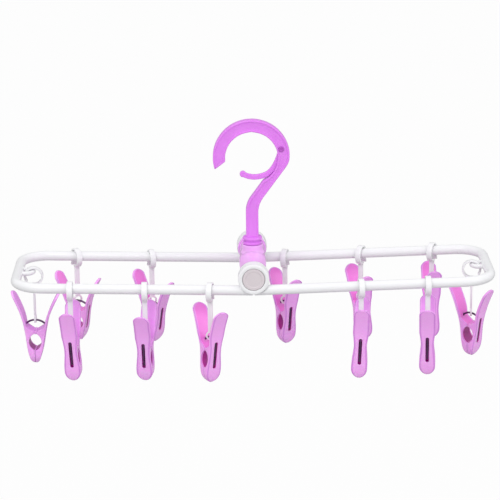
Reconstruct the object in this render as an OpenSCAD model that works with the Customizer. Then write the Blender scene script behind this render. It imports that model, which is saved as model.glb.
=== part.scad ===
// Clip drying hanger: a swivelling rail hook with a gate carries a hub, two frame halves fold up
// on the hub's axle, and clothes pegs hang from the frame on hooked links.
// Millimetres. +X runs along the length, +Y away from the viewer, +Z up.
// The origin is where the rail hook sits on the rail.

/* [Rail hook] */
// Outer radius of the round hook
ring_r = 31; // [29:0.5:35]
// Width of the hook's band, seen from the front
band_w = 10.8; // [10:0.1:12]
// Thickness of the hook, front to back
hook_t = 8; // [7.5:0.5:11]
// Width of the shank
shank_w = 10; // [9:0.5:12]
// Depth of the pointed notch that finds the middle of a rail
notch_d = 1.2; // [0.6:0.1:1.8]
// Height from the rail down to the folding axle
axle_drop = 108; // [104:0.5:130]
// Where the hook's tip ends, in degrees round from +X
tip_angle = 187; // [175:1:190]

/* [Gate] */
// Thickness of the gate, front to back
gate_t = 3.4; // [2.6:0.1:4]
// Width of the gate's arm
gate_w = 5; // [4:0.2:5.6]
// Radius of the gate's pin
gate_pin_r = 1.2; // [1:0.1:1.4]

/* [Hub] */
// Outer radius of the hub barrel
barrel_r = 10.4; // [9.6:0.1:11.2]
// Wall of the hub barrel
barrel_wall = 2.4; // [1.8:0.1:2.8]
// Radius of the plugs' flanges
flange_r = 11.5; // [11.4:0.1:12]
// Thickness of the plugs' flanges
flange_t = 3; // [2:0.2:4]
// Length of a plug inside the barrel
plug_l = 6; // [4:0.5:10]
// Radius of the folding axle
axle_r = 2.5; // [2.2:0.1:2.8]
// Radius of the hook's stem in the hub
stem_r = 3.5; // [3:0.1:3.8]
// Radius of the hook's collar
collar_r = 7.75; // [7:0.25:8.5]
// Height of the collar above the hub's boss
collar_h = 5.8; // [5:0.2:7]
// Height of the boss above the axle
boss_h = 15; // [13.5:0.5:17]

/* [Frame] */
// Half the length of the frame, to the middle of the end bars
end_x = 189; // [185:1:210]
// Width of the frame, between the middles of the long bars
frame_w = 92; // [90:1:110]
// Diameter of the frame's tube
tube_d = 8; // [7.4:0.1:8.6]
// Radius of the frame's corners
corner_r = 22; // [16:1:26]
// How far the arms rise towards their ends, in degrees
arm_rise = 1.5; // [0:0.5:3]
// How far the tubes run below the axle
tube_drop = 10.3; // [9.4:0.1:10.6]
// Radius of the knuckles
knuckle_r = 12.3; // [12:0.1:13]
// Thickness of a knuckle
knuckle_t = 5.5; // [5:0.25:6.5]
// Radius of the axle caps
cap_r = 8.75; // [7:0.25:9.25]
// Thickness of the axle caps
cap_t = 1.5; // [1:0.1:1.8]
// Thickness of the eyelet inside each end bar
eye_d = 3.6; // [3:0.2:4]
// Reach of the eyelet from the middle of the end bar
eye_reach = 12; // [12:0.5:15]
// Half the inside width of the eyelet, to the middle of its bar
eye_half = 6; // [5.5:0.25:7]

/* [Peg links] */
// Width of the link's strip
link_w = 4.5; // [4:0.25:5]
// Thickness of the link's strip
link_t = 1.6; // [1.2:0.1:1.8]
// From the middle of the loop down to the peg's wire
link_drop = 37.2; // [35:0.2:40]
// Furthest that a loop stands turned on its bar, in degrees
turn_max = 25; // [25:1:28]
// Radius of the tab at the foot of the link
tab_r = 3.8; // [3.6:0.1:4.2]
// Radius of the hole in the tab
tab_hole_r = 2.4; // [2.3:0.1:2.5]

/* [Pegs] */
// Width of a handle
handle_w = 14; // [12:0.5:15]
// Width of the waist
waist_w = 10.2; // [9:0.2:11.4]
// Width of the jaws
jaw_w = 12.8; // [11:0.2:14]
// Height of the handles above the wire
handle_h = 24; // [20:0.5:24.5]
// Spread of one handle from the middle
handle_out = 19.8; // [17:0.2:22]
// Thickness of a handle
blade_t = 2; // [1.6:0.1:2.4]
// Depth of the jaws below the wire
jaw_h = 37.2; // [35:0.2:44]
// Half the depth of the peg at the wire
shoulder_out = 9.3; // [9.1:0.1:10]
// Half the length of the round gap
gap_h = 7.3; // [6:0.1:7.6]
// Half the width of the round gap
gap_w = 5.1; // [4.5:0.1:5.3]
// Diameter of the spring wire
wire_d = 1.6; // [1.2:0.1:1.8]
// Width of the slot that holds the wire
slot_w = 2.8; // [2.6:0.1:3.4]

/* [Fits] */
// Radial clearance of a turning shaft
run_gap = 0.05; // [0.03:0.01:0.08]
// Gap between faces that move past each other
face_gap = 0.3; // [0.2:0.05:0.4]

/* [Hidden] */
$fn = 64;

// Each peg: name, where it hangs, distance from the hub, turn of its link, and the peg's own turn,
// sideways lean and tilt along the arch of its wire.
FRONT = -1;
REAR = 1;
END = 0;
PEGS = [
    ["a", END, -1, 90, 87, 3, 2],
    ["b", FRONT, -144.8, 0, -5, 1.5, 0],
    ["c", FRONT, -86, 0, -10, -2, 4],
    ["d", FRONT, -34.4, -10, 30, -2, -2],
    ["e", FRONT, 84.6, 4, -5, -3, -2],
    ["f", FRONT, 137.4, 0, -6, 0, 3],
    ["g", REAR, -145, 25, 68, 12, 5],
    ["h", REAR, -83, 15, 49, 9, 8],
    ["j", REAR, 27, -15, 28, 2, 2],
    ["k", REAR, 90, -25, 16, 5, 1],
    ["l", REAR, 149, -25, 3, 0, -3],
    ["m", END, 1, -95, -132, -5, -2],
];

violet = [0.86, 0.45, 0.92];
orchid = [0.87, 0.47, 0.88, 0.9];
lavender = [0.93, 0.76, 0.96, 0.8];
white_plastic = [0.93, 0.92, 0.94];
cap_grey = [0.80, 0.77, 0.79];
steel = [0.35, 0.33, 0.36];

// A point at distance r from c, at angle a.
function polar(c, r, a) = [c[0] + r * cos(a), c[1] + r * sin(a)];
function cubic(a, b, c, d, t) =
    a * pow(1 - t, 3) + b * 3 * t * pow(1 - t, 2) + c * 3 * t * t * (1 - t) + d * pow(t, 3);
// n + 1 points along a curve with end points a and d, and b and c pulling at them.
function curve(a, b, c, d, n) = [for (i = [0:n]) cubic(a, b, c, d, i / n)];
function smooth(t) = t * t * (3 - 2 * t);
function unit(v) = v / norm(v);

// Extrudes an outline drawn in x and z about y = 0.
module slab(thick) {
    rotate([90, 0, 0]) linear_extrude(height = thick, center = true) children();
}

// ---- Rail hook -------------------------------------------------------------------------------

ring_in = ring_r - band_w;
ring_c = [0, -ring_in - notch_d];
neck_slope = 53.5;
neck_n = [sin(neck_slope), -cos(neck_slope)];
neck_d = [-cos(neck_slope), -sin(neck_slope)];
neck_w = 8;
neck_reach = ring_r - 4.3;
neck_chord = sqrt(pow(ring_r, 2) - pow(neck_reach, 2));
tip_slant = 36.5;
collar_z = -axle_drop + boss_h + face_gap;
shank_z = collar_z + collar_h;
pocket_h = 7.6;
retainer_t = 1.6;
retainer_r = 5.5;
stem_end_h = pocket_h - face_gap - retainer_t - 1;

// Where the line at distance reach from the ring's middle, along the neck, has this x.
function neck_at(reach, x) =
    let (p = ring_c + neck_n * reach) p + neck_d * ((p[0] - x) / cos(neck_slope));

// The rounded bend from the edge of the neck at distance reach into the side of the shank at x.
function neck_bend(reach, x) =
    let (p = neck_at(reach, x))
    curve(p - neck_d * 7, p - neck_d * 2.4, p - [0, 2.4], p - [0, 7], 6);

module hook_outline() {
    tip = polar(ring_c, ring_in, tip_angle);
    slant = [cos(tip_slant), sin(tip_slant)];
    inner = neck_reach - neck_w;
    far = 3 * ring_r;
    difference() {
        union() {
            difference() {
                translate(ring_c) circle(ring_r, $fn = 96);
                // below the mouth, between the tip and the neck
                polygon([
                    tip + slant * (ring_in / 2), tip - slant * ring_r, [-far, -far],
                    ring_c + neck_n * inner + neck_d * far,
                    ring_c + neck_n * inner + neck_d * (neck_w / 2)
                ]);
                // the ring is cut straight where the neck leaves it
                polygon([
                    ring_c + neck_n * neck_reach - neck_d * neck_chord,
                    ring_c + neck_n * (neck_reach + ring_r) - neck_d * neck_chord,
                    ring_c + neck_n * (neck_reach + ring_r) + neck_d * far,
                    ring_c + neck_n * neck_reach + neck_d * far
                ]);
            }
            polygon(concat(
                [ring_c + neck_n * neck_reach - neck_d * neck_chord * 0.98],
                neck_bend(neck_reach, shank_w / 2),
                [[shank_w / 2, shank_z], [-shank_w / 2, shank_z]],
                [for (i = [6:-1:0]) neck_bend(inner, -shank_w / 2)[i]],
                [ring_c + neck_n * inner]
            ));
        }
        translate(ring_c) circle(ring_in, $fn = 96);
        polygon([[0, 0], [notch_d * 1.5, -notch_d * 1.5], [-notch_d * 1.5, -notch_d * 1.5]]);
    }
}

module swivel_hook() {
    groove_r = collar_r - 1.4;
    groove_h = 1.8;
    color(violet) {
        difference() {
            slab(hook_t) hook_outline();
            slab(gate_t + 2 * face_gap) gate_room();
            translate([gate_pin_c[0], 0, gate_pin_c[1]]) rotate([90, 0, 0])
                cylinder(r = gate_pin_r, h = 2 * hook_t, center = true);
        }
        difference() {
            translate([0, 0, collar_z]) cylinder(r = collar_r, h = collar_h);
            translate([0, 0, collar_z + (collar_h - groove_h) / 2]) difference() {
                cylinder(r = collar_r + 1, h = groove_h);
                translate([0, 0, -1]) cylinder(r = groove_r, h = groove_h + 2);
            }
        }
        translate([0, 0, -axle_drop + stem_end_h])
            cylinder(r = stem_r, h = boss_h + face_gap - stem_end_h + 1);
    }
}

// ---- Gate ------------------------------------------------------------------------------------

gate_pin_angle = 17;
gate_pin_c = polar(ring_c, ring_in + 4.5, gate_pin_angle);
gate_eye_r = 3.1;
gate_tip_r = 3.4;
// the gate's shape follows the inside of the ring
gate_scale = ring_in / 20.2;
gate_tip_c = ring_c + gate_scale * [-6.4, -14.6];
gate_knee = ring_c + gate_scale * [12.4, -13.8];
// the middle line of the gate, from its tip round to its pin
gate_line = concat(
    curve(gate_tip_c, ring_c + gate_scale * [-2, -16.6], ring_c + gate_scale * [6, -17.2], gate_knee, 5),
    [for (p = curve(gate_knee, ring_c + gate_scale * [18, -10.6],
                    gate_pin_c + gate_scale * [-1.4, -8], gate_pin_c, 6)) if (p != gate_knee) p]
);

// The band of width w along a line of points.
function band(line, w) = let (
    n = len(line) - 1,
    dir = [for (i = [0:n]) unit(line[min(i + 1, n)] - line[max(i - 1, 0)])]
) concat(
    [for (i = [0:n]) line[i] - [-dir[i][1], dir[i][0]] * w / 2],
    [for (i = [n:-1:0]) line[i] + [-dir[i][1], dir[i][0]] * w / 2]
);

module gate_outline(grow) {
    polygon(band(gate_line, gate_w + 2 * grow));
    translate(gate_tip_c) circle(gate_tip_r + grow);
    translate(gate_pin_c) circle(gate_eye_r + grow);
}

// The slot that takes the gate, open to the inside of the ring.
module gate_room() {
    gate_outline(face_gap);
    n = len(gate_line) - 1;
    polygon(concat([ring_c], [for (i = [0:n]) gate_line[i]], [gate_pin_c + [-gate_eye_r - 6, gate_eye_r]]));
    translate(gate_pin_c - [gate_eye_r + 6, 0]) square([gate_eye_r + 6, gate_eye_r + face_gap]);
}

module hook_gate() {
    color(violet) difference() {
        slab(gate_t) gate_outline(0);
        translate([gate_pin_c[0], 0, gate_pin_c[1]]) rotate([90, 0, 0])
            cylinder(r = gate_pin_r + run_gap, h = 2 * gate_t, center = true);
    }
}

module gate_pin() {
    head_r = gate_pin_r + 0.9;
    head_h = 0.5;
    color(violet) translate([gate_pin_c[0], 0, gate_pin_c[1]]) rotate([90, 0, 0]) {
        cylinder(r = gate_pin_r, h = hook_t + head_h, center = true);
        for (s = [-1, 1]) translate([0, 0, s * (hook_t + head_h) / 2])
            cylinder(r = head_r, h = head_h, center = true);
    }
}

// ---- Hub -------------------------------------------------------------------------------------

tube_r = tube_d / 2;
lap_y = frame_w / 2;
outer_y0 = lap_y + face_gap / 2;
outer_y1 = outer_y0 + knuckle_t;
inner_y1 = lap_y - face_gap / 2;
inner_y0 = inner_y1 - knuckle_t;
flange_y = inner_y0 - face_gap;
barrel_half = flange_y - flange_t;
recess_d = cap_t + face_gap + 0.2;
cap_y = outer_y1 - 0.2 - cap_t;
cap_socket = 0.9;
axle_half = cap_y + cap_socket;

module at_axle() { translate([0, 0, -axle_drop]) children(); }
// A cylinder along y from y0 to y1.
module rod_y(r, y0, y1) { translate([0, y1, 0]) rotate([90, 0, 0]) cylinder(r = r, h = y1 - y0); }

module stem_retainer() {
    color(steel) at_axle() translate([0, 0, pocket_h - face_gap - retainer_t]) difference() {
        cylinder(r = retainer_r, h = retainer_t);
        translate([0, 0, -1]) cylinder(r = stem_r, h = retainer_t + 2);
    }
}

module hub_barrel() {
    boss_r = collar_r + 0.6;
    color(lavender) at_axle() difference() {
        union() {
            rod_y(barrel_r, -barrel_half, barrel_half);
            cylinder(r = boss_r, h = boss_h);
        }
        rod_y(barrel_r - barrel_wall, -barrel_half - 1, barrel_half + 1);
        cylinder(r = retainer_r + face_gap, h = pocket_h);
        cylinder(r = stem_r + run_gap, h = boss_h + 1);
    }
}

module plug(side) {
    color(lavender) at_axle() rotate([0, 0, side > 0 ? 0 : 180]) difference() {
        union() {
            rod_y(flange_r, barrel_half, flange_y);
            rod_y(barrel_r - barrel_wall, barrel_half - plug_l, barrel_half);
        }
        rod_y(axle_r, barrel_half - plug_l - 1, flange_y + 1);
    }
}
module front_plug() { plug(FRONT); }
module rear_plug() { plug(REAR); }

module pivot_axle() { color(steel) at_axle() rod_y(axle_r, -axle_half, axle_half); }

module cap(side) {
    color(cap_grey) at_axle() rotate([0, 0, side > 0 ? 0 : 180]) difference() {
        rod_y(cap_r, cap_y, cap_y + cap_t);
        rod_y(axle_r, cap_y - 1, axle_half);
    }
}
module front_cap() { cap(FRONT); }
module rear_cap() { cap(REAR); }

// ---- Frame -----------------------------------------------------------------------------------

knuckle_room = knuckle_r + 0.5;
tube_end = 0.5;

// The left half, lying flat: front knuckle outside, rear knuckle inside.
module frame_half() {
    bar_x = end_x - corner_r;
    difference() {
        union() {
            translate([0, 0, -tube_drop]) {
                difference() {
                    for (s = [-1, 1]) translate([-bar_x, s * lap_y, 0]) rotate([0, 90, 0])
                        cylinder(r = tube_r, h = bar_x - tube_end);
                    // each tube is lapped where the other half's knuckle turns
                    translate([0, 0, tube_drop]) {
                        rod_y(knuckle_room, -outer_y0, 0);
                        rod_y(knuckle_room, inner_y1, outer_y1);
                    }
                }
                for (s = [-1, 1]) translate([-bar_x, s * (lap_y - corner_r), 0])
                    rotate([0, 0, s > 0 ? 90 : 180])
                    rotate_extrude(angle = 90) translate([corner_r, 0]) circle(tube_r, $fn = 32);
                rod_at_end();
                eyelet();
            }
            rod_y(knuckle_r, -outer_y1, -outer_y0);
            rod_y(knuckle_r, inner_y0, inner_y1);
        }
        rod_y(axle_r + run_gap, -outer_y1 - 1, outer_y1 + 1);
        rod_y(cap_r + face_gap, -outer_y1 - 1, -outer_y1 + recess_d);
    }
}
module rod_at_end() {
    half = lap_y - corner_r;
    translate([-end_x, 0, 0]) rod_y(tube_r, -half, half);
}
module eyelet() {
    leg = eye_reach - eye_half;
    translate([-end_x, 0, 0]) {
        for (s = [-1, 1]) translate([0, s * eye_half, 0]) rotate([0, 90, 0])
            cylinder(r = eye_d / 2, h = leg, $fn = 32);
        translate([leg, 0, 0]) rotate([0, 0, -90])
            rotate_extrude(angle = 180) translate([eye_half, 0]) circle(eye_d / 2, $fn = 32);
    }
}
module left_frame() { color(white_plastic) at_axle() rotate([0, arm_rise, 0]) frame_half(); }
module right_frame() {
    color(white_plastic) at_axle() rotate([0, 0, 180]) rotate([0, arm_rise, 0]) frame_half();
}

// ---- Where the pegs hang ---------------------------------------------------------------------

loop_play = 0.74;
loop_r = tube_r / cos(turn_max) + link_w / 2 * tan(turn_max) + loop_play;
seat_gap = 0.3;
turn_lift = 3.4;

function side_of(p) = p[1] == END ? p[2] : sign(p[2]);
// Distance from the hub along the arm, and place across it, of the bar that carries the peg.
function along(p) = p[1] == END ? end_x - eye_reach : abs(p[2]);
function across(p) = p[1] * lap_y;
function bar_radius(p) = p[1] == END ? eye_d / 2 : tube_r;
// The middle of that bar, on the raised arm.
function bar_point(p) = [
    side_of(p) * (along(p) * cos(arm_rise) + tube_drop * sin(arm_rise)),
    across(p),
    along(p) * sin(arm_rise) - tube_drop * cos(arm_rise) - axle_drop
];
// A turned loop rides up a little on the round tube, and one on an eyelet clears the eyelet's bend.
function loop_lift(p) = p[1] == END ? eye_half - sqrt(pow(eye_half, 2) - pow(link_w / 2, 2))
                                    : turn_lift * pow(sin(p[3]), 2);
function loop_fall(p) = loop_r - bar_radius(p) - seat_gap - loop_lift(p);
// The middle of the wire's arch, where the peg hangs.
function wire_point(p) = bar_point(p) - [0, 0, loop_fall(p) + link_drop];

module hang(p, turn) { translate(wire_point(p)) rotate([0, 0, turn]) children(); }
// A peg leans sideways about its wire, and slides a little along the wire's arch.
module hang_peg(p) {
    hang(p, p[4]) rotate([0, -p[5], 0])
        translate([0, 0, -arch_r]) rotate([p[6], 0, 0]) translate([0, 0, arch_r]) children();
}

// ---- Link ------------------------------------------------------------------------------------

module link(p) {
    loop_c = [0, link_drop];
    out_r = loop_r + link_t;
    mouth_from = -78;
    mouth_to = -38;
    tail_l = 3.4;
    tail_turn = -62;
    stem_w = link_w - 0.5;
    // a wire that crosses the tab aslant rides up in its hole
    tab_z = tab_hole_r - wire_d / 2 - 0.15 - 0.75 * pow(sin(p[4] - p[3]), 2);
    free_end = polar(loop_c, loop_r + link_t / 2, mouth_to);
    tail = [cos(tail_turn), sin(tail_turn)];
    side = [-tail[1], tail[0]];
    color(white_plastic) hang(p, p[3]) difference() {
        union() {
            // the loop, with its mouth low at the back and a flared tail
            rotate([90, 0, 90]) linear_extrude(height = link_w, center = true) {
                difference() {
                    translate(loop_c) circle(out_r);
                    translate(loop_c) circle(loop_r);
                    polygon([
                        loop_c, polar(loop_c, 2 * out_r, mouth_from),
                        polar(loop_c, 2 * out_r, (mouth_from + mouth_to) / 2),
                        polar(loop_c, 2 * out_r, mouth_to)
                    ]);
                }
                polygon([
                    free_end - side * link_t / 2 - tail * 0.8,
                    free_end + side * link_t / 2 - tail * 0.8,
                    free_end + side * link_t / 2 + tail * tail_l,
                    free_end - side * link_t / 2 + tail * tail_l
                ]);
            }
            slab(link_t) {
                translate([-stem_w / 2, tab_z]) square([stem_w, link_drop - loop_r - link_t / 2 - tab_z]);
                translate([0, tab_z]) circle(tab_r);
            }
        }
        translate([0, 0, tab_z]) rotate([90, 0, 0]) cylinder(r = tab_hole_r, h = 3 * link_t, center = true);
    }
}

// ---- Peg halves ------------------------------------------------------------------------------

jaw_gap = face_gap;
fulcrum_z = -9.6;
rib_r = 1.4;
rib_gap = 0.1;
web_face = 0.9;
web_top = 0.7;
shoulder_z = -4.9;
gap_z = fulcrum_z - 0.6 - gap_h;
gap_arc = (pow(gap_w, 2) + pow(gap_h, 2)) / (2 * gap_w);

// The spring wire: an arch between the handles, a bend, and a leg in the slot of each half.
arch_r = 10.8;
arch_turn = 44;
bend_r = 2.2;
leg_lean = 9.7;
leg_l = 17.5;
bend_c = [0, -arch_r] + (arch_r - bend_r) * [sin(arch_turn), cos(arch_turn)];
leg_top = bend_c + bend_r * [cos(leg_lean), -sin(leg_lean)];
leg_end = leg_top + leg_l * [-sin(leg_lean), -cos(leg_lean)];
slot_floor = 0.4;

// Side view of one half, in distance out from the middle and height.
half_side = concat(
    curve([handle_out, handle_h - 0.4], [handle_out - 5.6, 13], [shoulder_out + 0.9, 3],
          [shoulder_out, shoulder_z], 8),
    [for (i = [1:10]) cubic([shoulder_out, shoulder_z], [shoulder_out - 2.1, shoulder_z - 10],
                            [5.6, -jaw_h], [jaw_gap / 2, -jaw_h], i / 10)],
    [[jaw_gap / 2, gap_z], [web_face, gap_z], [web_face, fulcrum_z + web_top]],
    curve([shoulder_out - blade_t + 0.05, shoulder_z + 0.3], [shoulder_out - blade_t + 0.9, 3.4],
          [handle_out - blade_t - 5.6, 13.6], [handle_out - blade_t + 0.3, handle_h + 0.3], 8)
);

// Half the width of a peg at height z, seen from its face.
waist_z = -10;
paddle_z = 10;
jaw_z = -27;
function half_width(z) =
    let (up = z > waist_z, end_w = up ? handle_w : jaw_w, end_z = up ? paddle_z : jaw_z)
    waist_w / 2 + (end_w - waist_w) / 2 * smooth(min(1, (z - waist_z) / (end_z - waist_z)));

module peg_face() {
    top = handle_h + 0.3 - handle_w / 2;
    low = -jaw_h + jaw_w / 2;
    levels = [for (i = [0:14]) low + (top - low) * i / 14];
    polygon(concat(
        [for (z = levels) [half_width(z), z]],
        [for (i = [14:-1:0]) [-half_width(levels[i]), levels[i]]]
    ));
    translate([0, top]) circle(handle_w / 2, $fn = 48);
    translate([0, low]) circle(jaw_w / 2, $fn = 48);
}

module peg_half(rib) {
    slot_l = norm(leg_end - leg_top) + 2.6;
    depth = 2 * handle_out;
    difference() {
        union() {
            difference() {
                intersection() {
                    rotate([90, 0, -90]) linear_extrude(height = handle_w + 1, center = true) polygon(half_side);
                    translate([0, -depth / 2, 0]) slab(depth) peg_face();
                }
                // half of the round gap
                rotate([90, 0, -90]) translate([gap_w - gap_arc, gap_z])
                    cylinder(r = gap_arc, h = 2 * handle_w, center = true);
            }
            if (rib) rotate([0, 90, 0]) translate([-fulcrum_z, 0, 0])
                cylinder(r = rib_r, h = waist_w - 1, center = true, $fn = 32);
        }
        if (!rib) rotate([0, 90, 0]) translate([-fulcrum_z, 0, 0])
            cylinder(r = rib_r + rib_gap, h = 2 * waist_w, center = true, $fn = 32);
        // the slot that holds the spring's leg
        translate([0, -leg_top[0], leg_top[1]]) rotate([leg_lean, 0, 0])
            translate([0, wire_d / 2 + slot_floor, 0]) rotate([90, 0, 0])
            linear_extrude(height = handle_out) {
                translate([-slot_w / 2, -slot_l + slot_w / 2]) square([slot_w, slot_l]);
                for (z = [-slot_l + slot_w / 2, slot_w / 2]) translate([0, z]) circle(slot_w / 2, $fn = 32);
            }
    }
}
module peg_front(p) { color(orchid) hang_peg(p) peg_half(true); }
module peg_back(p) { color(orchid) hang_peg(p) rotate([0, 0, 180]) peg_half(false); }

// ---- Spring wire -----------------------------------------------------------------------------

wire_sides = 6;
half_wire = concat(
    [for (i = [1:4]) let (t = arch_turn * i / 4) [arch_r * sin(t), arch_r * cos(t) - arch_r]],
    [for (i = [1:4]) polar(bend_c, bend_r, 90 - arch_turn - (90 - arch_turn + leg_lean) * i / 4)],
    [leg_end]
);
wire_line = concat(
    [for (i = [len(half_wire) - 1:-1:0]) [-half_wire[i][0], half_wire[i][1]]], [[0, 0]], half_wire
);

// A round tube along a flat line of points, as one closed skin.
module wire_tube(line, d, sides) {
    n = len(line) - 1;
    dir = [for (i = [0:n]) unit(line[min(i + 1, n)] - line[max(i - 1, 0)])];
    rings = [for (i = [0:n]) for (k = [0:sides - 1]) let (a = 360 * k / sides) [
        d / 2 * cos(a),
        line[i][0] - dir[i][1] * d / 2 * sin(a),
        line[i][1] + dir[i][0] * d / 2 * sin(a)
    ]];
    walls = [for (i = [0:n - 1]) for (k = [0:sides - 1]) let (
        a = i * sides + k, b = i * sides + (k + 1) % sides
    ) each [[a, b, b + sides], [a, b + sides, a + sides]]];
    ends = [for (k = [1:sides - 2]) each [[0, k + 1, k], [n * sides, n * sides + k, n * sides + k + 1]]];
    polyhedron(rings, concat(walls, ends));
}
module peg_spring(p) { color(steel) hang_peg(p) wire_tube(wire_line, wire_d, wire_sides); }

// ---- Every piece -----------------------------------------------------------------------------

swivel_hook();
hook_gate();
gate_pin();
stem_retainer();
hub_barrel();
front_plug();
rear_plug();
pivot_axle();
front_cap();
rear_cap();
left_frame();
right_frame();
for (p = PEGS) link(p);
for (p = PEGS) peg_back(p);
for (p = PEGS) peg_front(p);
for (p = PEGS) peg_spring(p);
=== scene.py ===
import math

import bpy
import numpy as np
from mathutils import Matrix, Vector


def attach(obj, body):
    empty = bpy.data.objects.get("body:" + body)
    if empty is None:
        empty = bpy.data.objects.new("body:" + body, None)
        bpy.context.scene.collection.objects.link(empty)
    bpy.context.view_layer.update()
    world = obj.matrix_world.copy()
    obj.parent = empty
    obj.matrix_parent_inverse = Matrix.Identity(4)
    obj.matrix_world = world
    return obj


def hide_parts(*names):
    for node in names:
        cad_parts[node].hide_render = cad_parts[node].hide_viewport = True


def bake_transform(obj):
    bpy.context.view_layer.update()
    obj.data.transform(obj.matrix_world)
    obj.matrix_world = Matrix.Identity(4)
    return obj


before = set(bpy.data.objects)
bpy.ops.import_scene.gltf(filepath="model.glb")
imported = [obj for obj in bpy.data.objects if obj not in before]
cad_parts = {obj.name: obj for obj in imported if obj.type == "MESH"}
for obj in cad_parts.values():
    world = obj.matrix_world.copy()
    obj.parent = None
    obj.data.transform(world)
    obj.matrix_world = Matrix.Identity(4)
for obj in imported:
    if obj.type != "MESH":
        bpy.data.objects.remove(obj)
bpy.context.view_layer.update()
print("frame loaded", len(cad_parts), "nodes")

mm = 0.001
axle = {"drop": 108.0, "radius": 2.5}
axlePoint = (0, 0, -axle["drop"])


def degrees(a):
    return np.radians(np.asarray(a, float))


def arc(centre, radius, start, stop, count):
    # centre + radius * (cos a, sin a), with a running evenly from start to stop degrees
    a = degrees(np.linspace(start, stop, count))
    return np.stack([centre[0] + radius * np.cos(a), centre[1] + radius * np.sin(a)], 1)


def heading(degreesUp):
    # the unit vector (cos a, sin a)
    return np.array([math.cos(math.radians(degreesUp)), math.sin(math.radians(degreesUp))])


def onCircle(centre, radius, degreesUp):
    return np.asarray(centre, float) + radius * heading(degreesUp)


def pulled(a, b, c, d, count):
    # a(1-t)^3 + 3b t(1-t)^2 + 3c t^2(1-t) + d t^3, for t from 0 to 1
    t = np.linspace(0, 1, count)[:, None]
    a, b, c, d = (np.array(p, float) for p in (a, b, c, d))
    return a * (1 - t) ** 3 + 3 * b * t * (1 - t) ** 2 + 3 * c * t * t * (1 - t) + d * t ** 3


def between(a, b, count):
    t = np.linspace(0, 1, count)[:, None]
    return np.array(a, float) * (1 - t) + np.array(b, float) * t


def cleaned(path, least=0.02):
    # leaves out each point that lies closer than least to the one before it
    step = np.linalg.norm(np.diff(path, axis=0), axis=1)
    return path[np.concatenate([[True], step > least])]


def turned(points, degreesAboutZ, shift=(0, 0, 0)):
    # x cos - y sin, x sin + y cos, z, and then moved by shift
    c, s = heading(degreesAboutZ)
    spin = np.array([[c, -s, 0], [s, c, 0], [0, 0, 1]])
    return points @ spin.T + np.array(shift, float)


def raised(points, degreesAboutY):
    # x cos + z sin, y, z cos - x sin
    c, s = heading(degreesAboutY)
    spin = np.array([[c, 0, s], [0, 1, 0], [-s, 0, c]])
    return points @ spin.T


def gridShell(points, tone=None):
    # points[i, j] runs i along the shape and j round it: neighbours make four-sided faces, each end has a cap
    # a shell is its points, its faces and the values of the attribute "tone"
    n, m = points.shape[:2]
    index = np.arange(n * m).reshape(n, m)
    ahead = np.roll(index, -1, 1)
    quads = np.stack([index[:-1], ahead[:-1], ahead[1:], index[1:]], -1).reshape(-1, 4)
    faces = [tuple(q) for q in quads.tolist()]
    faces += [tuple(index[0, ::-1].tolist()), tuple(index[-1].tolist())]
    tone = np.zeros(n * m) if tone is None else np.asarray(tone, float).reshape(-1)
    return points.reshape(-1, 3), faces, tone


def joined(*shells):
    points, faces, tones, base = [], [], [], 0
    for p, f, t in shells:
        points.append(p)
        tones.append(t)
        faces += [tuple(i + base for i in face) for face in f]
        base += len(p)
    return np.concatenate(points), faces, np.concatenate(tones)


def moved(shell, change):
    return change(shell[0]), shell[1], shell[2]


def tangents(path):
    along = np.gradient(path, axis=0)
    return along / np.linalg.norm(along, axis=1, keepdims=True)


def pipe(path, radius, sides, normal):
    # path[i] + radius * (cos a * normal + sin a * (tangent x normal)): a round wire along a flat path
    path = np.asarray(path, float)
    up = np.array(normal, float)
    across = np.cross(tangents(path), up)
    across /= np.linalg.norm(across, axis=1, keepdims=True)
    a = np.linspace(0, 2 * math.pi, sides, endpoint=False)
    ring = path[:, None] + radius * (
        np.cos(a)[None, :, None] * up + np.sin(a)[None, :, None] * across[:, None]
    )
    return gridShell(ring[:, ::-1])


def strip(path, normal, width, thick, edge):
    # a flat band along path: a rounded rectangle, width along normal and thick across it
    path = np.asarray(path, float)
    up = np.array(normal, float)
    across = np.cross(tangents(path), up)
    corners = []
    for cx, cy, start in ((1, 1, 0), (-1, 1, 90), (-1, -1, 180), (1, -1, 270)):
        corners.append(arc((cx * (width / 2 - edge), cy * (thick / 2 - edge)), edge, start, start + 90, 4))
    loop = np.concatenate(corners)
    ring = path[:, None] + loop[None, :, :1] * up + loop[None, :, 1:] * across[:, None]
    return gridShell(ring[:, ::-1])


def turnedProfile(profile, axisPoint, along, sides):
    # (radius, height) pairs turned about an axis: point + height * along + radius * (cos a * e + sin a * f)
    profile = np.asarray(profile, float)
    along = np.array(along, float)
    e = np.array([1.0, 0, 0]) if abs(along[0]) < 0.9 else np.array([0, 0, 1.0])
    f = np.cross(along, e)
    a = np.linspace(0, 2 * math.pi, sides, endpoint=False)
    ring = (
        np.array(axisPoint, float)
        + profile[:, None, 1:] * along
        + profile[:, None, :1] * (np.cos(a)[None, :, None] * e + np.sin(a)[None, :, None] * f)
    )
    return gridShell(ring)


def inset(outline, distance):
    # each corner moves inwards along the mean of its two sides' normals
    before, after = np.roll(outline, 1, 0), np.roll(outline, -1, 0)
    a, b = outline - before, after - outline
    a /= np.linalg.norm(a, axis=1, keepdims=True)
    b /= np.linalg.norm(b, axis=1, keepdims=True)
    na, nb = np.stack([-a[:, 1], a[:, 0]], 1), np.stack([-b[:, 1], b[:, 0]], 1)
    mid = na + nb
    mid /= np.maximum(np.linalg.norm(mid, axis=1, keepdims=True), 1e-6)
    reach = np.clip((mid * na).sum(1, keepdims=True), 0.5, 1)
    return outline + mid * distance / reach


def roundedEdge(edge, steps):
    # inset edge (1 - sin a) at height edge (1 - cos a), for a from 0 to 90 degrees
    turn = degrees(np.linspace(0, 90, steps + 1))
    return [(edge * (1 - math.sin(a)), edge * (1 - math.cos(a))) for a in turn]


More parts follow.
